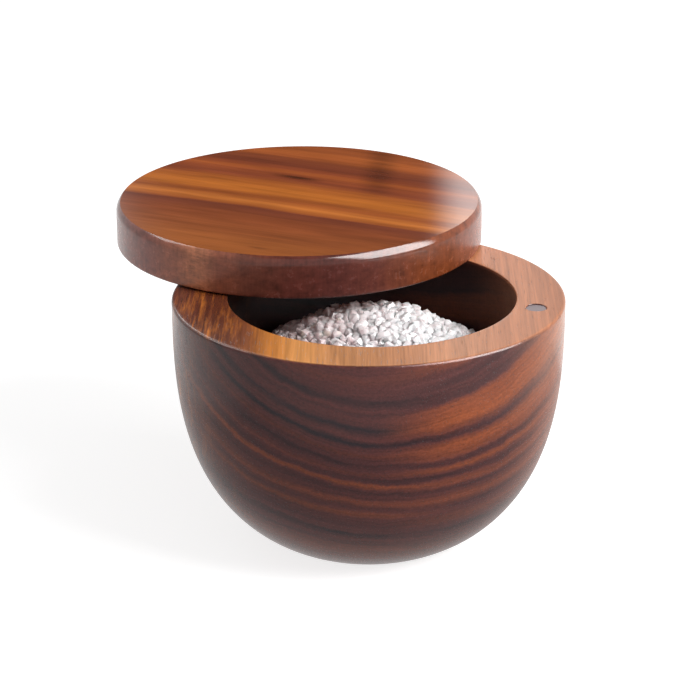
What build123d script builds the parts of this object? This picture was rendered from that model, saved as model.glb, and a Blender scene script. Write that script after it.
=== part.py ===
from build123d import *
import math
import os

# A turned wooden salt box: a round bowl with a wide flat rim, and a disc lid that swings
# aside on an upright pin let into the rim. Two small disc magnets hold the lid shut.
#
# Millimetres. The bowl stands on z = 0 and its axis is Z. +X runs from the pivot, across
# the bowl, to the magnet in the rim. The lid is written in its swung-open place.

# ---- Driving dimensions ----

# Bowl, outside
rim_radius = 56.0
bowl_height = 72.0
foot_radius = 27.0
side_uprightness = 2.92
belly_fullness = 2.3
rim_outer_rounding = 0.9
foot_rounding = 1.2

# Bowl, inside. The hollow sits a little off the bowl's axis, which leaves more wood at the pivot.
cavity_radius = 41.1
cavity_shift = 1.0
floor_thickness = 14.0
cavity_corner_radius = 24.0
rim_inner_rounding = 0.35

# Lid
lid_step_in = 1.2
lid_thickness = 12.5
lid_shoulder_in = 1.2
lid_shoulder_drop = 2.2
lid_dish_depth = 1.2
lid_under_rounding = 0.7
lid_open_angle = 70.8

# Pivot, which stands in the rim and carries the lid
pivot_set_in = 9.5
pin_radius = 2.5
pin_depth_in_bowl = 14.0
pin_end_chamfer = 0.4
bush_wall = 1.45
bush_length = 9.0
bush_mouth_chamfer = 0.3
washer_radius = 5.5
washer_thickness = 0.35

# Magnets, one in the rim and one in the lid
magnet_set_in = 7.7
magnet_recess = 0.25
magnet_radius = 3.0
magnet_thickness = 3.0
magnet_chamfer = 0.2

# Salt heap, and the larger crystals that lie half sunk in its surface
salt_crown_below_rim = 7.3
salt_slope_angle = 30.0
salt_crown_radius = 45.0
crystal_size = 3.0
crystal_spacing = 6.6
crystal_sink = 0.9
crystal_turn_step = (47.0, 31.0, 73.0)

# Clearances
glue_gap = 0.02
running_gap = 0.05
pin_end_gap = 0.5
salt_gap = 0.3

# ---- Derived sizes ----

pivot_circle = rim_radius - pivot_set_in
magnet_circle = rim_radius - magnet_set_in
lid_radius = rim_radius - lid_step_in
lid_underside = bowl_height + washer_thickness + running_gap
lid_top = lid_underside + lid_thickness
bush_bore_radius = pin_radius + running_gap
bush_radius = bush_bore_radius + bush_wall
pin_top = lid_underside + bush_length - pin_end_gap
pin_bottom = bowl_height - pin_depth_in_bowl

cavity_place = Pos(cavity_shift, 0, 0)
pivot_place = Pos(-pivot_circle, 0, 0)
magnet_place = Pos(magnet_circle, 0, 0)
swung_open = pivot_place * Rot(0, 0, lid_open_angle) * pivot_place.inverse()


# ---- Shapes that several pieces share ----

def turned(*edges):
    """A solid turned about Z from edges in the XZ plane, in order round the section."""
    section = make_face(Plane.XZ * Wire(edges))
    return revolve(section, Axis.Z)


def ring_edge(solid, radius, height):
    """The circular edges of a turned solid at one radius and height."""
    circles = solid.edges().filter_by(GeomType.CIRCLE)
    return circles.filter_by(
        lambda edge: abs(edge.radius - radius) < 1e-3 and abs(edge.arc_center.Z - height) < 1e-3
    )


def upright_cylinder(radius, low, high):
    """A cylinder about Z between two heights."""
    rod = Cylinder(radius, high - low, align=(Align.CENTER, Align.CENTER, Align.MIN))
    return Pos(0, 0, low) * rod


def disc_magnet(low):
    """A disc magnet about Z with its lower face at one height."""
    disc = upright_cylinder(magnet_radius, low, low + magnet_thickness)
    return chamfer(disc.edges().filter_by(GeomType.CIRCLE), magnet_chamfer)


def magnet_pocket(mouth, bottom):
    """The hole that a disc magnet is glued into, from its mouth to its bottom."""
    return upright_cylinder(magnet_radius + glue_gap, min(mouth, bottom), max(mouth, bottom))


# ---- Bowl ----

def side_radius(depth):
    """Outer radius of the bowl at a depth below the rim: a squared-off oval curve."""
    foot_share = 1 - (foot_radius / rim_radius) ** belly_fullness
    oval_depth = bowl_height / foot_share ** (1 / side_uprightness)
    fall = (depth / oval_depth) ** side_uprightness
    return rim_radius * (1 - fall) ** (1 / belly_fullness)


def bowl_side():
    """The bowl's outer side, from the rim down to the foot."""
    steps = 12
    depths = [bowl_height * step / steps for step in range(steps + 1)]
    points = [(side_radius(depth), bowl_height - depth) for depth in depths]
    return Spline(points, tangents=[(0, -1), side_slope_at_foot()])


def side_slope_at_foot():
    """Direction of the side where it meets the foot, running down and inwards."""
    step = 0.01 * bowl_height
    return (side_radius(bowl_height) - side_radius(bowl_height - step), -step)


def cavity_section(gap):
    """Edges of the hollow's floor and corner, drawn in by a gap, and the foot of its wall."""
    wall = cavity_radius - gap
    floor = floor_thickness + gap
    corner = cavity_corner_radius - gap
    flat = Line((0, floor), (wall - corner, floor))
    bend = TangentArc((wall - corner, floor), (wall, floor + corner), tangent=(1, 0))
    return flat, bend, (wall, floor + corner)


def make_cavity():
    """The hollow as a solid, to cut from the bowl."""
    flat, bend, wall_foot = cavity_section(0)
    cavity = turned(
        flat,
        bend,
        Line(wall_foot, (cavity_radius, bowl_height)),
        Line((cavity_radius, bowl_height), (0, bowl_height)),
        Line((0, bowl_height), (0, floor_thickness)),
    )
    return cavity_place * cavity


def make_bowl():
    block = turned(
        Line((0, 0), (foot_radius, 0)),
        bowl_side(),
        Line((rim_radius, bowl_height), (0, bowl_height)),
        Line((0, bowl_height), (0, 0)),
    )
    bowl = block - make_cavity()
    bowl = fillet(ring_edge(bowl, rim_radius, bowl_height), rim_outer_rounding)
    bowl = fillet(ring_edge(bowl, cavity_radius, bowl_height), rim_inner_rounding)
    bowl = fillet(ring_edge(bowl, foot_radius, 0), foot_rounding)
    pin_socket = upright_cylinder(pin_radius + glue_gap, pin_bottom, bowl_height)
    pocket = magnet_pocket(bowl_height, bowl_height - magnet_recess - magnet_thickness)
    return bowl - pivot_place * pin_socket - magnet_place * pocket


# ---- Lid, made shut over the bowl ----

def make_lid():
    shoulder_foot = (lid_radius, lid_top - lid_shoulder_drop)
    crest = (lid_radius - lid_shoulder_in, lid_top)
    dish_bottom = (0, lid_top - lid_dish_depth)
    lid = turned(
        Line((0, lid_underside), (lid_radius, lid_underside)),
        Line((lid_radius, lid_underside), shoulder_foot),
        TangentArc(shoulder_foot, crest, tangent=(0, 1)),
        TangentArc(dish_bottom, crest, tangent=(1, 0)),
        Line(dish_bottom, (0, lid_underside)),
    )
    lid = fillet(ring_edge(lid, lid_radius, lid_underside), lid_under_rounding)
    bush_socket = upright_cylinder(
        bush_radius + glue_gap, lid_underside, lid_underside + bush_length
    )
    pocket = magnet_pocket(lid_underside, lid_underside + magnet_recess + magnet_thickness)
    return lid - pivot_place * bush_socket - magnet_place * pocket


# ---- Pivot hardware ----

def make_pivot_pin():
    pin = upright_cylinder(pin_radius, pin_bottom, pin_top)
    pin = chamfer(pin.edges().filter_by(GeomType.CIRCLE), pin_end_chamfer)
    return pivot_place * pin


def make_lid_bush():
    outside = upright_cylinder(bush_radius, lid_underside, lid_underside + bush_length)
    bore = upright_cylinder(bush_bore_radius, lid_underside, lid_underside + bush_length)
    bush = outside - bore
    bush = chamfer(ring_edge(bush, bush_bore_radius, lid_underside), bush_mouth_chamfer)
    return pivot_place * bush


def make_spacer_washer():
    outside = upright_cylinder(washer_radius, bowl_height, bowl_height + washer_thickness)
    bore = upright_cylinder(bush_bore_radius, bowl_height, bowl_height + washer_thickness)
    return pivot_place * (outside - bore)


# ---- Salt ----

def heap_height(radius):
    """Height of the heap's surface, out from its crown: a round cap, then an even slope."""
    slope = math.radians(salt_slope_angle)
    cap_radius = min(radius, salt_crown_radius * math.sin(slope))
    cap_fall = salt_crown_radius - math.sqrt(salt_crown_radius ** 2 - cap_radius ** 2)
    slope_fall = (radius - cap_radius) * math.tan(slope)
    return bowl_height - salt_crown_below_rim - cap_fall - slope_fall


def make_crystals():
    """The larger crystals: blocks turned every way, on a spiral that covers the heap evenly."""
    half_diagonal = crystal_size * math.sqrt(3) / 2
    spiral_radius = cavity_radius - salt_gap - half_diagonal
    crystal_count = int(2 * math.pi / math.sqrt(3) * (spiral_radius / crystal_spacing) ** 2)
    golden_angle = 180 * (3 - math.sqrt(5))
    crystals = []
    for number in range(crystal_count):
        radius = spiral_radius * math.sqrt((number + 0.5) / crystal_count)
        around = Rot(0, 0, number * golden_angle)
        place = around * Pos(radius, 0, heap_height(radius) - crystal_sink)
        turn = Rot(*(number * step for step in crystal_turn_step))
        crystals.append(place * turn * Box(crystal_size, crystal_size, crystal_size))
    return crystals


def make_salt_fill():
    flat, bend, wall_foot = cavity_section(salt_gap)
    edge_radius = cavity_radius - salt_gap
    cap_radius = salt_crown_radius * math.sin(math.radians(salt_slope_angle))
    crown = (0, heap_height(0))
    cap_edge = (cap_radius, heap_height(cap_radius))
    heap_edge = (edge_radius, heap_height(edge_radius))
    heap = turned(
        flat,
        bend,
        Line(wall_foot, heap_edge),
        Line(heap_edge, cap_edge),
        TangentArc(crown, cap_edge, tangent=(1, 0)),
        Line(crown, (0, floor_thickness + salt_gap)),
    )
    return cavity_place * heap.fuse(*make_crystals())


# ---- Write one file for each piece ----

pieces = {
    "bowl": make_bowl(),
    "pivot_pin": make_pivot_pin(),
    "spacer_washer": make_spacer_washer(),
    "rim_magnet": magnet_place * disc_magnet(bowl_height - magnet_recess - magnet_thickness),
    "salt_fill": make_salt_fill(),
    "lid": swung_open * make_lid(),
    "lid_bush": swung_open * make_lid_bush(),
    "lid_magnet": swung_open * magnet_place * disc_magnet(lid_underside + magnet_recess),
}

os.makedirs("parts", exist_ok=True)
for name, piece in pieces.items():
    export_step(piece, f"parts/{name}.step")
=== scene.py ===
"""A dark turned-wood salt box. Its thick disc lid is swung aside over a heap of coarse salt."""
import math

import bmesh
import bpy
from mathutils import Matrix, Vector


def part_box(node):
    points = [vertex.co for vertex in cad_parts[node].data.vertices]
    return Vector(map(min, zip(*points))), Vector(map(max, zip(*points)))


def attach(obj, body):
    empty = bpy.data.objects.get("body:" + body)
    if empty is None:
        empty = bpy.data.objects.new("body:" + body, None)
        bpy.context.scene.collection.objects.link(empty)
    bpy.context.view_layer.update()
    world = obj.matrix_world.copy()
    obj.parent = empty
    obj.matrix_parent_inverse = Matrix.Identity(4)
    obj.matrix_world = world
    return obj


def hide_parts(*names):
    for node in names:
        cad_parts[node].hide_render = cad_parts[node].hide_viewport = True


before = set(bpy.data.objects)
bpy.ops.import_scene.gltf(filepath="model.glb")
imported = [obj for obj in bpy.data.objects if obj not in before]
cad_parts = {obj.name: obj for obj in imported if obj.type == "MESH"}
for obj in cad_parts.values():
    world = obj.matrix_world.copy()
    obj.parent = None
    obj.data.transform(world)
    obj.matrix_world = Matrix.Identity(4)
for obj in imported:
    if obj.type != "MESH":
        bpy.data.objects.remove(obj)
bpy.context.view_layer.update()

MM = 0.001

# ---- Sizes, in metres, from the frame where it has them ----

bowl_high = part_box("bowl")[1]
lid_low, lid_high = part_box("lid")
salt_low, salt_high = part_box("salt_fill")
magnet_low, magnet_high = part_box("rim_magnet")
lid_magnet_low, lid_magnet_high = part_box("lid_magnet")
bush_low, bush_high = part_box("lid_bush")
pin_low, pin_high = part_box("pivot_pin")

rim_height = bowl_high.z
rim_radius = bowl_high.x
foot_radius = 27 * MM
foot_rounding = 1.2 * MM
rim_outer_rounding = 0.9 * MM
rim_inner_rounding = 0.35 * MM
side_uprightness = 2.92
belly_fullness = 2.3

salt_gap = 0.3 * MM
salt_centre = (salt_low + salt_high) / 2
cavity_radius = (salt_high.x - salt_low.x) / 2 + salt_gap
cavity_shift = salt_centre.x
cavity_floor = salt_low.z - salt_gap
cavity_corner = 24 * MM

lid_centre = (lid_low + lid_high) / 2
lid_radius = (lid_high.x - lid_low.x) / 2
lid_shoulder_in = 1.2 * MM
lid_shoulder_drop = 2.2 * MM
shoulder_half_turn = 21
lid_dish_depth = 1.2 * MM
lid_under_rounding = 0.7 * MM

magnet_centre = (magnet_low + magnet_high) / 2
lid_magnet_centre = (lid_magnet_low + lid_magnet_high) / 2
magnet_radius = (magnet_high.x - magnet_low.x) / 2
bush_centre = (bush_low + bush_high) / 2
bush_radius = (bush_high.x - bush_low.x) / 2
pin_centre = (pin_low + pin_high) / 2
pin_radius = (pin_high.x - pin_low.x) / 2
hole_clearance = 0.02 * MM
magnet_socket_flare = 0.12 * MM
bush_socket_flare = 0.12 * MM
pin_socket_flare = 0.3 * MM

crown_below_rim = 7.3 * MM
heap_slope = math.radians(30)
crown_radius = 45 * MM

# The photograph is taken from this side, and the bowl's fibres run away from the camera.
camera_azimuth = math.radians(12.7)
camera_right = Vector((math.cos(camera_azimuth), math.sin(camera_azimuth), 0))
camera_away = Vector((-math.sin(camera_azimuth), math.cos(camera_azimuth), 0))
UP = Vector((0, 0, 1))

# The lid's fibres, which run nearly across the view while it is swung open.
lid_grain_turn = math.radians(-24)
lid_fibre = camera_right * math.cos(lid_grain_turn) + camera_away * math.sin(lid_grain_turn)
lid_across = UP.cross(lid_fibre)

# The loose salt. A grain lies between a block and a ball. The ball's radius and the stretch limits
# are shares of the grain size, and the lift limits are metres.
grain_size = 2.9 * MM
grain_spacing = 0.62 * grain_size
grain_roughness = 1.6 * MM
grain_roundness = 0.48
grain_ball_radius = 0.58
chip_fineness = 620
grain_stretch = ((0.5, 0.55, 0.5), (1.35, 1.2, 1.15))
grain_lift = ((-0.2 * MM, -0.2 * MM, -0.3 * MM), (0.2 * MM, 0.2 * MM, 1.2 * MM))

floor_grey = 0.5
floor_glow = 0.78
room_light = 0.4


# ---- Turned shapes ----

def arc(centre, radius, start, end, steps):
    """Points on a circular arc of a section, between two angles in degrees."""
    points = []
    for step in range(steps + 1):
        angle = math.radians(start + (end - start) * step / steps)
        points.append((centre[0] + radius * math.cos(angle), centre[1] + radius * math.sin(angle)))
    return points


def run(start, end, steps):
    """Points along a straight stretch of a section, without its ends."""
    return [
        tuple(one + (other - one) * step / steps for one, other in zip(start, end))
        for step in range(1, steps)
    ]


def sideways(points, shift):
    """Section points whose own centre lies off the turned shape's axis along X."""
    return [(radius, height, shift) for radius, height in points]


def turned(name, section, centre=(0, 0), around=224):
    """A closed mesh turned about an upright axis. The section runs from axis to axis."""
    mesh = bpy.data.meshes.new(name)
    work = bmesh.new()

    def vertex(angle, radius, height, shift=0):
        x = centre[0] + shift + radius * math.cos(angle)
        return work.verts.new((x, centre[1] + radius * math.sin(angle), height))

    first = vertex(0, *section[0])
    last = vertex(0, *section[-1])
    angles = [2 * math.pi * step / around for step in range(around)]
    rings = [[vertex(angle, *point) for angle in angles] for point in section[1:-1]]
    for step in range(around):
        after = (step + 1) % around
        work.faces.new((first, rings[0][after], rings[0][step]))
        work.faces.new((last, rings[-1][step], rings[-1][after]))
        for inner, outer in zip(rings, rings[1:]):
            work.faces.new((inner[step], inner[after], outer[after], outer[step]))
    bmesh.ops.recalc_face_normals(work, faces=work.faces)
    work.to_mesh(mesh)
    work.free()
    piece = bpy.data.objects.new(name, mesh)
    bpy.context.scene.collection.objects.link(piece)
    return piece


def socket_cutter(centre, radius, low, high, flare):
    """A turned plug for cutting a round socket whose mouth, at height high, is eased."""
    beyond = high + (high - low)
    section = [
        (0, low),
        (radius, low),
        (radius, high - math.copysign(flare, high - low)),
        (radius + flare, high),
        (radius + flare, beyond),
        (0, beyond),
    ]
    return turned("socket_cutter", section, centre, around=48)


def cut(piece, cutters):
    """Cut sockets out of a turned piece and leave it a plain mesh."""
    for cutter in cutters:
        boolean = piece.modifiers.new("socket", "BOOLEAN")
        boolean.operation = "DIFFERENCE"
        boolean.solver = "EXACT"
        boolean.object = cutter
    make_plain(piece)
    for cutter in cutters:
        bpy.data.objects.remove(cutter)
    return piece


def make_plain(piece):
    """Replace a piece's mesh by the result of its modifiers, and drop them."""
    view = bpy.context.evaluated_depsgraph_get()
    mesh = bpy.data.meshes.new_from_object(piece.evaluated_get(view))
    mesh.name = piece.name
    piece.modifiers.clear()
    piece.data = mesh


def shade_smooth(piece, sharp_angle=35):
    """Smooth shading that keeps the edges sharper than an angle in degrees."""
    piece.data.shade_smooth()
    piece.data.set_sharp_from_angle(angle=math.radians(sharp_angle))


def side_radius(depth):
    """Outer radius of the bowl at a depth below the rim."""
    foot_share = 1 - (foot_radius / rim_radius) ** belly_fullness
    oval_depth = rim_height / foot_share ** (1 / side_uprightness)
    return rim_radius * (1 - (depth / oval_depth) ** side_uprightness) ** (1 / belly_fullness)


def bowl_section():
    """The bowl's section: base, foot, side, rim, and down the hollow to its floor."""
    slope_step = 0.5 * MM
    foot_run = (side_radius(rim_height - slope_step) - side_radius(rim_height)) / slope_step
    foot_turn = math.degrees(math.atan2(1, foot_run))
    setback = foot_rounding * math.tan(math.radians(foot_turn / 2))
    foot_centre = (foot_radius - setback, foot_rounding)
    foot = arc(foot_centre, foot_rounding, -90, -90 + foot_turn, 6)
    side_low = foot[-1][1]
    side_high = rim_height - rim_outer_rounding
    steps = 71
    side = []
    for step in range(1, steps):
        height = side_low + (side_high - side_low) * step / steps
        side.append((side_radius(rim_height - height), height))
    rim_outer_centre = (rim_radius - rim_outer_rounding, side_high)
    rim_outer = arc(rim_outer_centre, rim_outer_rounding, 0, 90, 8)
    rim_inner_centre = (cavity_radius + rim_inner_rounding, rim_height - rim_inner_rounding)
    rim_inner = arc(rim_inner_centre, rim_inner_rounding, 90, 180, 4)
    wall_foot = (cavity_radius, cavity_floor + cavity_corner)
    corner_centre = (cavity_radius - cavity_corner, cavity_floor + cavity_corner)
    corner = arc(corner_centre, cavity_corner, 0, -90, 24)
    hollow = [
        *rim_inner,
        *run(rim_inner[-1], wall_foot, 12),
        *corner,
        *run(corner[-1], (0, cavity_floor), 8),
        (0, cavity_floor),
    ]
    hollow = sideways(hollow, cavity_shift)
    return [
        (0, 0),
        *run((0, 0), foot[0], 10),
        *foot,
        *side,
        *rim_outer,
        *run((*rim_outer[-1], 0), hollow[0], 16),
        *hollow,
    ]


def lid_section():
    """The lid's section: flat underside, straight side, rounded shoulder and dished top."""
    low, high = lid_low.z, lid_high.z
    under_centre = (lid_radius - lid_under_rounding, low + lid_under_rounding)
    under = arc(under_centre, lid_under_rounding, -90, 0, 6)
    shoulder_lean = math.degrees(math.atan(lid_shoulder_in / lid_shoulder_drop))
    shoulder_chord = math.hypot(lid_shoulder_in, lid_shoulder_drop)
    shoulder_radius = shoulder_chord / 2 / math.sin(math.radians(shoulder_half_turn))
    shoulder_start = shoulder_lean - shoulder_half_turn
    shoulder_end = shoulder_lean + shoulder_half_turn
    shoulder_centre = (
        lid_radius - shoulder_radius * math.cos(math.radians(shoulder_start)),
        high - lid_shoulder_drop - shoulder_radius * math.sin(math.radians(shoulder_start)),
    )
    shoulder = arc(shoulder_centre, shoulder_radius, shoulder_start, shoulder_end, 10)
    crest = lid_radius - lid_shoulder_in
    dish_radius = (crest ** 2 + lid_dish_depth ** 2) / (2 * lid_dish_depth)
    crest_rise = math.sqrt(dish_radius ** 2 - crest ** 2)
    steps = 40
    dish = []
    for step in range(1, steps):
        radius = crest * (1 - step / steps)
        sag = math.sqrt(dish_radius ** 2 - radius ** 2) - crest_rise
        dish.append((radius, high - sag))
    return [
        (0, low),
        *run((0, low), under[0], 16),
        *under,
        *run(under[-1], shoulder[0], 10),
        *shoulder,
        *dish,
        (0, high - lid_dish_depth),
    ]


def make_bowl():
    bowl = turned("bowl_turned", bowl_section())
    magnet_hole = magnet_radius + hole_clearance
    pin_hole = pin_radius + hole_clearance
    cutters = [
        socket_cutter(magnet_centre, magnet_hole, magnet_low.z, rim_height, magnet_socket_flare),
        socket_cutter(pin_centre, pin_hole, pin_low.z, rim_height, pin_socket_flare),
    ]
    shade_smooth(cut(bowl, cutters))
    return bowl


def make_lid():
    lid = turned("lid_turned", lid_section(), lid_centre)
    magnet_hole = magnet_radius + hole_clearance
    bush_hole = bush_radius + hole_clearance
    magnet_top = lid_magnet_high.z
    cutters = [
        socket_cutter(lid_magnet_centre, magnet_hole, magnet_top, lid_low.z, magnet_socket_flare),
        socket_cutter(bush_centre, bush_hole, bush_high.z, lid_low.z, bush_socket_flare),
    ]
    shade_smooth(cut(lid, cutters), sharp_angle=25)
    return lid


# ---- Salt ----

def heap_height(radius):
    """Height of the heap's surface at a distance from its middle: a round cap, then a slope."""
    cap_edge = min(radius, crown_radius * math.sin(heap_slope))
    cap_fall = crown_radius - math.sqrt(crown_radius ** 2 - cap_edge ** 2)
    return rim_height - crown_below_rim - cap_fall - (radius - cap_edge) * math.tan(heap_slope)


def make_salt_bed():
    """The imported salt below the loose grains: it fills the hollow up to the heap's surface."""
    edge = cavity_radius - salt_gap
    floor = cavity_floor + salt_gap
    corner_radius = cavity_corner - salt_gap
    corner = arc((edge - corner_radius, floor + corner_radius), corner_radius, -90, 0, 12)
    steps = 24
    radii = [edge * (1 - step / steps) for step in range(steps + 1)]
    heap = [(radius, heap_height(radius)) for radius in radii]
    section = [(0, floor), *corner, *heap]
    bed = turned("salt_bed", section, (cavity_shift, 0), around=96)
    shade_smooth(bed)
    return bed


def make_heap_surface():
    """The open surface of the heap, on which the loose grains are strewn."""
    edge = cavity_radius - grain_size
    rings, around = 20, 64
    points = [(cavity_shift, 0, heap_height(0))]
    for ring in range(1, rings + 1):
        radius = edge * ring / rings
        for step in range(around):
            angle = 2 * math.pi * step / around
            x = cavity_shift + radius * math.cos(angle)
            points.append((x, radius * math.sin(angle), heap_height(radius)))
    faces = [(0, 1 + step, 1 + (step + 1) % around) for step in range(around)]
    for ring in range(rings - 1):
        first = 1 + ring * around
        for step in range(around):
            inner, outer = first + step, first + around + step
            inner_after = first + (step + 1) % around
            outer_after = inner_after + around
            faces.append((inner, outer, outer_after, inner_after))
    mesh = bpy.data.meshes.new("salt_grains")
    mesh.from_pydata(points, [], faces)
    surface = bpy.data.objects.new("salt_grains", mesh)
    bpy.context.scene.collection.objects.link(surface)
    return surface


class Pattern:
    """A geometry pattern that makes what repeats. Its named inputs are the pattern's sizes."""

    def __init__(self, name, inputs):
        self.tree = bpy.data.node_groups.new(name, "GeometryNodeTree")
        face = self.tree.interface
        face.new_socket("Geometry", in_out="INPUT", socket_type="NodeSocketGeometry")
        for title, kind in inputs.items():
            face.new_socket(title, in_out="INPUT", socket_type=kind)
        face.new_socket("Geometry", in_out="OUTPUT", socket_type="NodeSocketGeometry")
        self.given = self.tree.nodes.new("NodeGroupInput").outputs

    def node(self, kind, settings=None, sockets=None, output=0):
        """Add a node: its settings first, then its sockets' values or links. Returns one output."""
        made = self.tree.nodes.new(kind)
        for name, value in (settings or {}).items():
            setattr(made, name, value)
        for name, value in (sockets or {}).items():
            if isinstance(value, bpy.types.NodeSocket):
                self.tree.links.new(value, made.inputs[name])
            else:
                made.inputs[name].default_value = value
        return made.outputs[output] if made.outputs else None

    def random(self, low, high, seed):
        """A random vector for each point, between two limits."""
        sockets = {0: low, 1: high, "Seed": seed}
        return self.node("FunctionNodeRandomValue", {"data_type": "FLOAT_VECTOR"}, sockets)

    def vectors(self, operation, first, second, output="Vector"):
        """Vector maths. A scale takes its number as the second value."""
        place = "Scale" if operation == "SCALE" else 1
        sockets = {0: first} if second is None else {0: first, place: second}
        return self.node("ShaderNodeVectorMath", {"operation": operation}, sockets, output)

    def apply(self, piece, values):
        """Run the pattern on a piece with its inputs set, and leave a plain mesh."""
        modifier = piece.modifiers.new(self.tree.name, "NODES")
        modifier.node_group = self.tree
        for item in self.tree.interface.items_tree:
            if item.in_out == "INPUT" and item.name in values:
                modifier[item.identifier] = values[item.name]
        make_plain(piece)


def salt_grain_pattern(finish):
    """Chunky crystals of many sizes, lying any way up over the heap."""
    sizes = {
        "Spacing": "NodeSocketFloat",
        "Grain size": "NodeSocketFloat",
        "Roughness": "NodeSocketFloat",
        "Seed": "NodeSocketInt",
    }
    salt = Pattern("strewn_salt", sizes)
    given = salt.given
    strewn = {
        "Mesh": given["Geometry"],
        "Distance Min": given["Spacing"],
        "Density Max": 2e6,
        "Seed": given["Seed"],
    }
    evenly = {"distribute_method": "POISSON"}
    points = salt.node("GeometryNodeDistributePointsOnFaces", evenly, strewn)
    block = {"Size": (1, 1, 1), "Vertices X": 3, "Vertices Y": 3, "Vertices Z": 3}
    cube = salt.node("GeometryNodeMeshCube", None, block)
    corner = salt.node("GeometryNodeInputPosition")
    ball = salt.vectors("SCALE", salt.vectors("NORMALIZE", corner, None), grain_ball_radius)
    shapes = {0: grain_roundness, 4: corner, 5: ball}
    worn = salt.node("ShaderNodeMix", {"data_type": "VECTOR"}, shapes, 1)
    crystal = salt.node("GeometryNodeSetPosition", None, {"Geometry": cube, "Position": worn})
    stretch = salt.random(*grain_stretch, 1)
    laid = {
        "Points": points,
        "Instance": crystal,
        "Rotation": salt.random((0, 0, 0), (2 * math.pi, 2 * math.pi, 2 * math.pi), 2),
        "Scale": salt.vectors("SCALE", stretch, given["Grain size"]),
    }
    grains = salt.node("GeometryNodeInstanceOnPoints", None, laid)
    lift = salt.random(*grain_lift, 3)
    grains = salt.node("GeometryNodeSetPosition", None, {"Geometry": grains, "Offset": lift})
    solid = salt.node("GeometryNodeRealizeInstances", None, {"Geometry": grains})
    chips = salt.node("ShaderNodeTexNoise", None, {"Scale": chip_fineness, "Detail": 2}, "Color")
    chips = salt.vectors("SUBTRACT", chips, (0.5, 0.5, 0.5))
    chips = salt.vectors("SCALE", chips, given["Roughness"])
    solid = salt.node("GeometryNodeSetPosition", None, {"Geometry": solid, "Offset": chips})
    solid = salt.node("GeometryNodeSetMaterial", None, {"Geometry": solid, "Material": finish})
    salt.node("NodeGroupOutput", None, {"Geometry": solid})
    return salt


def make_salt_grains(finish):
    grains = make_heap_surface()
    sizes = {
        "Spacing": grain_spacing,
        "Grain size": grain_size,
        "Roughness": grain_roughness,
        "Seed": 4,
    }
    salt_grain_pattern(finish).apply(grains, sizes)
    return grains


# ---- Shader maths ----

class Value:
    """A number in a shader. Sums and powers written with it add Math nodes."""

    def __init__(self, finish, socket):
        self.finish = finish
        self.socket = socket

    def math(self, operation, *others):
        sockets = dict(enumerate((self, *others)))
        return self.finish.node("ShaderNodeMath", {"operation": operation}, sockets)

    def __add__(self, other):
        return self.math("ADD", other)

    def __sub__(self, other):
        return self.math("SUBTRACT", other)

    def __mul__(self, other):
        return self.math("MULTIPLY", other)

    def __truediv__(self, other):
        return self.math("DIVIDE", other)

    def __neg__(self):
        return self * -1

    def __radd__(self, other):
        return self + other

    def __rmul__(self, other):
        return self * other

    def __rsub__(self, other):
        return -self + other

    def size(self):
        return self.math("ABSOLUTE")

    def clamped(self):
        return self.math("MAXIMUM", 0).math("MINIMUM", 1)

    def rise(self, low, high):
        """0 below low, 1 above high, and an even rise between."""
        sockets = {"Value": self, "From Min": low, "From Max": high}
        return self.finish.node("ShaderNodeMapRange", {"interpolation_type": "SMOOTHSTEP"}, sockets)

    def near(self, middle, reach):
        """1 at a middle value, and 0 from a reach away on either side."""
        return 1 - (self - middle).size().rise(0, reach)


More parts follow.
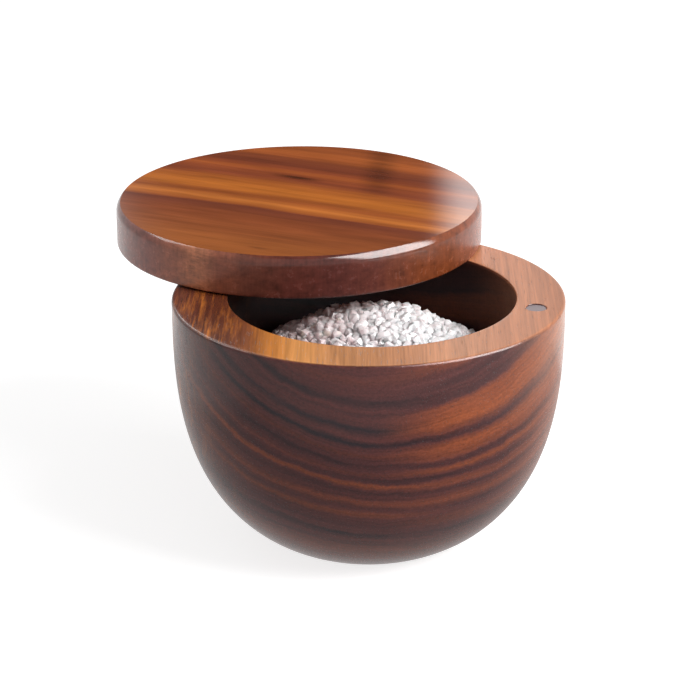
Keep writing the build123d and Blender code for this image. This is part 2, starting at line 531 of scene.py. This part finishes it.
class Finish:
    """One material and the nodes that paint it."""

    def __init__(self, name):
        self.material = bpy.data.materials.new(name)
        self.material.use_nodes = True
        self.tree = self.material.node_tree
        self.tree.nodes.clear()

    def node(self, kind, settings=None, sockets=None, output=0):
        """Add a node: its settings first, then its sockets' values or links. Returns one output."""
        made = self.tree.nodes.new(kind)
        for name, value in (settings or {}).items():
            if name == "stops":
                set_stops(made.color_ramp, value)
            else:
                setattr(made, name, value)
        for name, value in (sockets or {}).items():
            if isinstance(value, Value):
                self.tree.links.new(value.socket, made.inputs[name])
            else:
                made.inputs[name].default_value = value
        return Value(self, made.outputs[output]) if made.outputs else None

    def reach(self, direction, start=(0, 0, 0)):
        """How far the surface lies along a direction from a starting place, in millimetres."""
        place = self.node("ShaderNodeTexCoord", output="Object")
        sockets = {0: place, 1: Vector(direction) / MM}
        reach = self.node("ShaderNodeVectorMath", {"operation": "DOT_PRODUCT"}, sockets, "Value")
        return reach - Vector(direction).dot(Vector(start)) / MM

    def place(self):
        """The surface's place along the part's own axes, in millimetres."""
        return [self.reach(axis) for axis in ((1, 0, 0), (0, 1, 0), (0, 0, 1))]

    def distance_from_axis(self, centre):
        """How far the surface lies from an upright axis through a centre, in millimetres."""
        level = {"X": self.reach((1, 0, 0), centre), "Y": self.reach((0, 1, 0), centre)}
        sockets = {0: self.node("ShaderNodeCombineXYZ", None, level)}
        return self.node("ShaderNodeVectorMath", {"operation": "LENGTH"}, sockets, "Value")

    def facing(self, direction):
        """How squarely the surface faces along a direction of the piece: 0 edge on, 1 square on."""
        sockets = {0: self.node("ShaderNodeTexCoord", output="Normal"), 1: direction}
        square = self.node("ShaderNodeVectorMath", {"operation": "DOT_PRODUCT"}, sockets, "Value")
        return square.size()

    def grain(self, place, lengths, detail=2.0, roughness=0.5):
        """Noise around 0 at a place. Its lengths, in millimetres, are along its three distances."""
        sockets = dict(zip("XYZ", (distance / length for distance, length in zip(place, lengths))))
        vector = self.node("ShaderNodeCombineXYZ", None, sockets)
        sockets = {"Vector": vector, "Scale": 1.0, "Detail": detail, "Roughness": roughness}
        return (self.node("ShaderNodeTexNoise", None, sockets) - 0.5) * 2

    def tones(self, value, span, stops):
        """A colour from stops, each a value within a span and a tone."""
        low, high = span
        places = [((at - low) / (high - low), tone) for at, tone in stops]
        sockets = {"Fac": (value - low) / (high - low)}
        return self.node("ShaderNodeValToRGB", {"stops": places}, sockets)

    def lines(self, value, span, marks):
        """A mask of soft lines. Each mark is a value, the half width there and the strength."""
        stops = [(span[0], 0)]
        for at, half, strength in marks:
            if at - half > stops[-1][0]:
                stops.append((at - half, 0))
            elif stops[-1][1] == 0 and len(stops) > 1:
                stops.pop()
            stops.extend([(at, strength), (at + half, 0)])
        return self.tones(value, span, [(at, (grey, grey, grey, 1)) for at, grey in stops])

    def mix(self, factor, first, second):
        """Blend from one colour to another."""
        sockets = {0: factor, 6: first, 7: second}
        return self.node("ShaderNodeMix", {"data_type": "RGBA"}, sockets, 2)

    def shade(self, colour, factor):
        """A colour made darker or lighter by a factor."""
        plain = colour if isinstance(colour, Value) else colour[:3]
        sockets = {0: plain, "Scale": factor}
        return self.node("ShaderNodeVectorMath", {"operation": "SCALE"}, sockets)

    def bump(self, height, distance, strength=1.0):
        """Fine relief. The height is from 0 to 1, and the distance is the depth of 1."""
        sockets = {"Height": height, "Distance": distance, "Strength": strength}
        return self.node("ShaderNodeBump", None, sockets)

    def surface(self, **sockets):
        """Finish the material with one Principled shader."""
        named = {name.replace("_", " "): value for name, value in sockets.items()}
        shader = self.node("ShaderNodeBsdfPrincipled", None, named)
        self.node("ShaderNodeOutputMaterial", None, {"Surface": shader})
        return self.material


def set_stops(ramp, stops):
    """Give a colour ramp its stops, each a place from 0 to 1 and a colour, in rising order."""
    ramp.interpolation = "EASE"
    ramp.elements.remove(ramp.elements[1])
    ramp.elements[0].position, ramp.elements[0].color = stops[0]
    for place, colour in stops[1:]:
        ramp.elements.new(place).color = colour


def paint(red, green, blue):
    """A colour given as it looks, 0 to 255, in the linear numbers that shaders take."""
    linear = []
    for part in (red, green, blue):
        share = part / 255
        linear.append(share / 12.92 if share <= 0.04045 else ((share + 0.055) / 1.055) ** 2.4)
    return (*linear, 1.0)


# ---- Wood ----

def bowl_wood():
    """Dark oiled wood. Its growth rings sag across the front, and its fibres run front to back."""
    wood = Finish("bowl_wood_oiled")
    across = wood.reach(camera_right)
    fibre = wood.reach(camera_away)
    depth = rim_height / MM - wood.reach(UP)
    place = (across, fibre, depth)

    side = across - (depth * 0.3 + 2)
    left = side.math("MINIMUM", 0)
    right = side.math("MAXIMUM", 0)
    left_sag = (depth / -40).math("EXPONENT") * 0.010
    right_sag = 0.006 - depth * 0.00005
    ring = depth + left * left * left_sag + right * right * right_sag
    ring = ring + wood.grain(place, (26, 150, 18)) * 2.2 + wood.grain(place, (7, 70, 5)) * 0.8
    ring = ring + wood.grain(place, (1.8, 60, 1.4), 2) * 0.5

    span = (0, 80)
    on_right = across.rise(0, 28)
    dark_left = wood.lines(ring, span, [
        (10.8, 2.2, 0.85), (14.2, 1.0, 0.35), (18.5, 2.2, 0.95), (22.8, 1.7, 1.0),
        (29.8, 3.0, 0.65), (35.0, 1.4, 0.5), (39.3, 1.8, 0.45), (51.0, 1.6, 0.4),
        (54.8, 1.8, 1.0), (58.6, 1.6, 0.4),
    ])
    dark_right = wood.lines(ring, span, [
        (8.5, 2.0, 0.45), (12.5, 1.6, 0.55), (23.0, 0.9, 0.5), (30.3, 1.3, 0.7), (35.0, 1.2, 0.6),
        (39.5, 1.2, 0.4), (46.0, 1.2, 0.4), (54.5, 2.0, 0.8),
    ])
    warm_left = wood.lines(ring, span, [
        (5.0, 2.0, 0.1), (26.4, 1.2, 0.15), (33.0, 1.0, 0.12), (36.8, 1.2, 0.55), (42.8, 1.8, 0.3),
        (46.8, 1.6, 0.4), (63.0, 5.0, 0.3),
    ])
    warm_right = wood.lines(ring, span, [
        (3.0, 3.0, 0.5), (15.0, 2.0, 0.7), (19.5, 3.2, 0.9), (25.5, 2.4, 0.75), (28.0, 2.0, 0.6),
        (32.4, 1.6, 0.6), (37.5, 2.0, 0.4), (43.0, 3.0, 0.4), (50.0, 3.0, 0.3), (63.0, 6.0, 0.3),
    ])
    fade = (wood.grain((across, fibre, ring), (22, 150, 4)) * 1.5 + 0.85).clamped()
    dark = (dark_left * (1 - on_right) + dark_right * on_right) * fade
    warm = warm_left * (1 - on_right) + warm_right * on_right
    end_grain = wood.mix(dark, paint(86, 44, 42), paint(38, 25, 31))
    end_grain = wood.mix(warm.clamped(), end_grain, paint(152, 76, 38))
    foot = wood.mix(depth.rise(52, 66), end_grain, paint(104, 50, 33))
    end_grain = wood.mix(0.75, end_grain, foot)

    long_left = wood.tones(ring, span, [
        (0, paint(196, 136, 92)), (4, paint(206, 140, 78)), (8, paint(200, 124, 52)),
        (13, paint(150, 84, 46)), (18, paint(122, 62, 36)), (24, paint(120, 58, 44)),
        (34, paint(176, 112, 98)), (60, paint(160, 102, 90)),
    ])
    long_right = wood.tones(ring, span, [
        (0, paint(192, 132, 94)), (10, paint(184, 122, 88)), (18, paint(168, 104, 68)),
        (30, paint(150, 88, 62)), (60, paint(124, 74, 56)),
    ])
    flame = wood.grain((across, fibre, ring), (1.5, 20, 7), 4, 0.68)
    ember = wood.mix(flame.rise(-0.12, 0.68), paint(76, 36, 23), paint(214, 126, 46))
    long_left = wood.mix((1 - across.rise(-42, -20)) * 0.8, long_left, ember)
    long_grain = wood.mix(across.rise(-6, 14), long_left, long_right)

    end_share = wood.facing(camera_away).rise(0.12, 0.8)
    colour = wood.mix(end_share, long_grain, end_grain)
    fine = wood.grain((across, fibre, ring), (40, 160, 0.8), 3, 0.6)
    streaks = wood.grain((across, fibre, ring), (0.6, 32, 3), 3, 0.65)
    speckle = wood.grain(place, (0.8, 30, 0.6), 2, 0.7)
    pores = wood.grain(place, (0.45, 7, 0.45), 1).rise(0.22, 0.5)
    light = 1 + fine * 0.55 + streaks * 0.42 * (1 - end_share)
    light = light + speckle * 0.5 * end_share - pores * 0.4
    # Painted shade: the end grain is painted up to 22% darker towards the right.
    light = light * (1 - across.rise(8, 50) * 0.22 * end_share)
    colour = wood.shade(colour, light)
    from_axis = wood.distance_from_axis((cavity_shift, 0, 0))
    wall_edge = cavity_radius / MM
    floor_depth = (rim_height - cavity_floor) / MM
    inside = (1 - from_axis.rise(wall_edge - 0.1, wall_edge + 0.15)) * depth.rise(0.2, 1.2)
    inside = inside * (1 - depth.rise(floor_depth + 0.2, floor_depth + 0.5))
    # Painted shade: the hollow's wall and floor are painted nearly black, from 4.2% of the wood's
    # colour on the left down to 0.6% on the right.
    colour = wood.mix(inside, colour, wood.shade(colour, 0.042 - across.rise(-20, 34) * 0.036))
    relief = fine * 0.2 - pores
    return wood.surface(
        Base_Color=colour,
        Roughness=0.24 + fine * 0.06 + pores * 0.1 + inside * 0.4,
        IOR=1.33,
        Normal=wood.bump(relief, 0.03 * MM),
    )


def lid_wood():
    """Lacquered wood. Golden and brown bands cross the top, and the side is dark and mottled."""
    wood = Finish("lid_wood_lacquered")
    along = wood.reach(lid_fibre, lid_centre)
    across = wood.reach(lid_across, lid_centre)
    rightward = wood.reach(camera_right, lid_centre)
    below = lid_high.z / MM - wood.reach(UP)
    place = (along, across, below)
    band = across + along * along * 0.0018
    band = band + wood.grain(place, (60, 16, 12)) * 2.0 + wood.grain(place, (20, 5, 8)) * 0.7

    top = wood.tones(band, (-56, 60), [
        (-56, paint(166, 94, 46)), (-45, paint(160, 90, 45)), (-32, paint(147, 79, 42)),
        (-20, paint(141, 73, 41)), (-13, paint(123, 62, 40)), (-11, paint(120, 60, 40)),
        (-9.6, paint(160, 86, 42)), (-8, paint(176, 98, 44)), (-5.5, paint(202, 118, 54)),
        (-3.6, paint(182, 102, 46)), (-1.4, paint(154, 81, 38)), (0.8, paint(160, 86, 39)),
        (3.4, paint(184, 104, 42)), (7, paint(188, 107, 43)), (11, paint(177, 98, 41)),
        (14.4, paint(170, 92, 42)), (16.2, paint(148, 76, 41)), (18.5, paint(134, 66, 40)),
        (22, paint(144, 72, 41)), (25.5, paint(162, 84, 42)), (28, paint(140, 69, 40)),
        (31.5, paint(120, 59, 38)), (36, paint(130, 66, 40)), (39.5, paint(160, 84, 43)),
        (43.5, paint(172, 92, 46)), (47, paint(152, 80, 42)), (60, paint(140, 72, 41)),
    ])
    fleck = along.near(-10.5, 11.5) * across.near(20.6, 2.3) * 0.65
    fleck = fleck + along.near(9, 5) * across.near(-46, 1.3) * 0.35
    # A darker band slants across the fibres.
    slanting_band = (along - (54 - across) * 0.36 - 4).near(0, 8) * across.rise(10, 22)
    clouds = wood.grain(place, (30, 7, 10), 2)
    streaks = wood.grain((along, band, below), (45, 2.6, 6), 3, 0.65)
    fine = wood.grain(place, (60, 0.7, 3), 3, 0.6)
    light = 1 + fine * 0.25 + streaks * 0.34 + clouds * 0.3 - fleck - slanting_band * 0.34
    top = wood.shade(top, light)

    wall = wood.tones(rightward, (-55, 55), [
        (-55, paint(152, 96, 86)), (-44, paint(142, 82, 70)), (-36, paint(158, 94, 72)),
        (-28, paint(178, 112, 80)), (-21, paint(136, 76, 55)), (-12, paint(104, 55, 42)),
        (0, paint(94, 47, 39)), (12, paint(88, 45, 39)), (22, paint(94, 48, 39)),
        (30, paint(108, 56, 38)), (36, paint(112, 56, 30)), (44, paint(116, 58, 30)),
        (50, paint(122, 66, 44)), (55, paint(140, 84, 66)),
    ])
    mottle = wood.grain(place, (3.2, 3.2, 2.2), 4, 0.68)
    upright = wood.grain((rightward, across, below), (0.9, 60, 9), 3, 0.65)
    ripple = wood.grain((rightward, across, below), (3, 60, 0.6), 2, 0.6) * rightward.near(-28, 14)
    knot = rightward.near(29.5, 3) * below.near(7.5, 2.6)
    wall = wood.shade(wall, 1 + mottle * 0.85 + upright * 0.4 + ripple * 0.5 - knot * 0.35)
    side = 1 - wood.facing(UP).rise(0.86, 0.98)
    return wood.surface(
        Base_Color=wood.mix(side, top, wall),
        Roughness=0.12 + fine * 0.03 + below.rise(1.6, 3.2) * (0.14 + mottle * 0.06),
        IOR=1.36,
        Normal=wood.bump(fine * 0.3 + upright * side * 0.3, 0.01 * MM),
    )


# ---- Salt, magnets and pivot ----

def salt_finish():
    """Clear white crystals that let light through."""
    salt = Finish("salt_crystals")
    place = salt.place()
    grains = salt.grain(place, (2.6, 2.6, 2.6), 1)
    across = salt.reach(camera_right)
    cloudy_and_shadow = salt.mix((grains * 1.6 + 0.6).clamped(), paint(228, 216, 217), paint(248, 244, 246))
    # Painted shadow: the heap's left is painted a darker pinkish grey, as the lid's shadow, and the
    # faint pink of the grain tones is painted light bounced from the wood.
    cloudy_and_shadow = salt.mix(across.rise(-24, 18), paint(214, 190, 190), cloudy_and_shadow)
    warm = salt.grain(place, (5, 5, 5), 1).rise(0.25, 0.5)
    colour = salt.mix(warm * 0.5, cloudy_and_shadow, paint(226, 206, 180))
    return salt.surface(
        Base_Color=colour,
        Roughness=0.3 + grains * 0.15,
        IOR=1.45,
        Subsurface_Weight=1.0,
        Subsurface_Radius=(1.0, 0.9, 0.9),
        Subsurface_Scale=3.2 * MM,
    )


def metal_finish(name, colour, roughness):
    """Plain metal with faint scratches."""
    metal = Finish(name)
    scratches = metal.grain(metal.place(), (0.8, 0.25, 0.25), 3)
    return metal.surface(
        Base_Color=metal.shade(colour, 1 + scratches * 0.25),
        Metallic=1.0,
        Roughness=roughness + scratches * 0.12,
        Normal=metal.bump(scratches, 0.01 * MM),
    )


def washer_finish():
    """Matte black nylon."""
    nylon = Finish("washer_nylon")
    haze = nylon.grain(nylon.place(), (0.6, 0.6, 0.6), 3)
    return nylon.surface(
        Base_Color=nylon.shade(paint(42, 42, 44), 1 + haze * 0.3),
        Roughness=0.55 + haze * 0.1,
        Normal=nylon.bump(haze, 0.01 * MM),
    )


def finish_node(name, material):
    """Give a CAD node a material, in every slot that it has."""
    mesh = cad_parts[name].data
    for place in range(len(mesh.materials)):
        mesh.materials[place] = material


# ---- Camera, floor and light ----

def add_camera():
    """The photograph's view: a long lens, about 20 degrees above the rim."""
    distance = 0.7728
    elevation = math.radians(19.89)
    turn_left = 0.0068
    tip_down = 0.0204
    look = camera_away * math.cos(elevation) - Vector((0, 0, math.sin(elevation)))
    up = camera_right.cross(look)
    aim = look * math.cos(turn_left) - camera_right * math.sin(turn_left)
    right = camera_right * math.cos(turn_left) + look * math.sin(turn_left)
    forward = aim * math.cos(tip_down) - up * math.sin(tip_down)
    upward = up * math.cos(tip_down) + aim * math.sin(tip_down)
    data = bpy.data.cameras.new("camera")
    data.lens = 139.62
    data.sensor_width = 36
    camera = bpy.data.objects.new("camera", data)
    bpy.context.scene.collection.objects.link(camera)
    turn = Matrix((right, upward, -forward)).transposed()
    place = Vector((0, 0, rim_height)) - look * distance
    camera.matrix_world = Matrix.Translation(place) @ turn.to_4x4()
    bpy.context.scene.camera = camera


def direction(azimuth, elevation):
    """Unit vector towards the camera's side of the object, turned right and up by degrees."""
    turn, lift = math.radians(azimuth), math.radians(elevation)
    level = camera_right * math.sin(turn) - camera_away * math.cos(turn)
    return level * math.cos(lift) + UP * math.sin(lift)


def hang(thing, azimuth, elevation, distance):
    """Put a lamp or a card in the studio, square on to the object."""
    bpy.context.scene.collection.objects.link(thing)
    way = direction(azimuth, elevation)
    turn = way.to_track_quat("Z", "Y").to_matrix()
    thing.matrix_world = Matrix.Translation(way * distance) @ turn.to_4x4()


def stage_sheet(name, width, height):
    """A flat sheet that is part of the studio, not of the object."""
    mesh = bpy.data.meshes.new(name)
    x, y = width / 2, height / 2
    mesh.from_pydata([(-x, -y, 0), (x, -y, 0), (x, y, 0), (-x, y, 0)], [], [(0, 1, 2, 3)])
    return bpy.data.objects.new(name, mesh)


def seen_background(tree):
    """1 for rays that show the background: from the camera, or by a mirror or through glass."""
    path = tree.nodes.new("ShaderNodeLightPath")
    total = path.outputs["Is Camera Ray"]
    for name in ("Is Glossy Ray", "Is Transmission Ray"):
        most = tree.nodes.new("ShaderNodeMath")
        most.operation = "MAXIMUM"
        tree.links.new(total, most.inputs[0])
        tree.links.new(path.outputs[name], most.inputs[1])
        total = most.outputs[0]
    return total


def add_floor():
    """A white floor that takes the object's shadow."""
    floor = stage_sheet("floor", 60, 60)
    bpy.context.scene.collection.objects.link(floor)
    paper = Finish("floor_paper")
    grey = (floor_grey, floor_grey, floor_grey, 1)
    diffuse = paper.node("ShaderNodeBsdfDiffuse", None, {"Color": grey})
    seen = Value(paper, seen_background(paper.tree))
    glow = paper.node("ShaderNodeEmission", None, {"Strength": seen * floor_glow})
    both = paper.node("ShaderNodeAddShader", None, {0: diffuse, 1: glow})
    paper.node("ShaderNodeOutputMaterial", None, {"Surface": both})
    floor.data.materials.append(paper.material)


def add_world():
    """White behind the object, and an even soft light on it."""
    world = bpy.data.worlds.new("studio")
    bpy.context.scene.world = world
    world.use_nodes = True
    tree = world.node_tree
    background = tree.nodes["Background"]
    background.inputs["Color"].default_value = (1, 1, 1, 1)
    level = tree.nodes.new("ShaderNodeMapRange")
    level.inputs["To Min"].default_value = room_light
    level.inputs["To Max"].default_value = 1.0
    tree.links.new(seen_background(tree), level.inputs["Value"])
    tree.links.new(level.outputs[0], background.inputs["Strength"])


def add_lamp(name, azimuth, elevation, distance, size, power):
    """A square soft lamp that shines at the object. Its own reflection is left to a card."""
    data = bpy.data.lights.new(name, "AREA")
    data.size = size
    data.energy = power
    lamp = bpy.data.objects.new(name, data)
    hang(lamp, azimuth, elevation, distance)
    lamp.visible_glossy = False


def add_card(name, azimuth, elevation, distance, width, height, strength, soft=0.02):
    """A card that shows only as a reflection on the object: bright, or dark to shade it.

    It fades towards its left and right edges, over the soft share of its half width.
    """
    card = stage_sheet(name, width, height)
    hang(card, azimuth, elevation, distance)
    for rays in ("camera", "diffuse", "transmission", "volume_scatter", "shadow"):
        setattr(card, f"visible_{rays}", False)
    finish = Finish(name)
    half = width / 2 / MM
    faded = 1 - finish.reach((1, 0, 0)).size().rise(half * (1 - soft), half)
    glow = finish.node("ShaderNodeEmission", None, {"Color": faded, "Strength": strength})
    finish.node("ShaderNodeOutputMaterial", None, {"Surface": glow})
    card.data.materials.append(finish.material)


def add_studio():
    """The lamp gives the light. The cards give the reflections, and the flags darken them."""
    add_world()
    add_floor()
    add_lamp("key_softbox", 65, 42, distance=1.2, size=0.7, power=17)
    for name, azimuth, elevation, distance, width, height, strength, *soft in (
        ("key_reflection", 66, 36, 1.2, 1.4, 1.15, 24, 0.4),
        ("left_crest_reflection", -115, 45, 1.2, 0.7, 0.45, 8, 0.5),
        ("back_left_reflection", -156, 33, 1.5, 0.5, 0.4, 5),
        ("lid_end_reflection", 174.0, 26.8, 0.395, 0.038, 0.06, 2.6, 0.85),
        ("back_flag", 182, 27, 2.0, 0.27, 1.5, 0.03),
        ("top_flag", 0, 89, 2.0, 1.6, 3.0, 0.2),
        ("floor_flag", 0, 90, 1 * MM, 0.26, 0.26, 0.75),
    ):
        add_card(name, azimuth, elevation, distance, width, height, strength, *soft)


def main():
    add_camera()
    add_studio()

    bowl = make_bowl()
    bowl.data.materials.append(bowl_wood())
    lid = make_lid()
    lid.data.materials.append(lid_wood())
    salt = salt_finish()
    salt_bed = make_salt_bed()
    salt_bed.data.materials.append(salt)
    salt_grains = make_salt_grains(salt)

    for piece, body, slot in (
        (bowl, "bowl", "bowl_wood"),
        (lid, "lid", "lid_wood"),
        (salt_bed, "bowl", "salt"),
        (salt_grains, "bowl", "salt"),
    ):
        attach(piece, body)
    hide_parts("bowl")
    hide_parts("lid")
    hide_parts("salt_fill")

    magnet = metal_finish("magnet_dull_plating", paint(142, 130, 132), 0.45)
    finish_node("rim_magnet", magnet)
    finish_node("lid_magnet", magnet)
    finish_node("pivot_pin", metal_finish("pin_turned_steel", paint(200, 200, 203), 0.3))
    finish_node("lid_bush", metal_finish("bush_brass", paint(214, 178, 112), 0.33))
    finish_node("spacer_washer", washer_finish())
    bpy.context.scene.view_settings.view_transform = "Standard"


main()
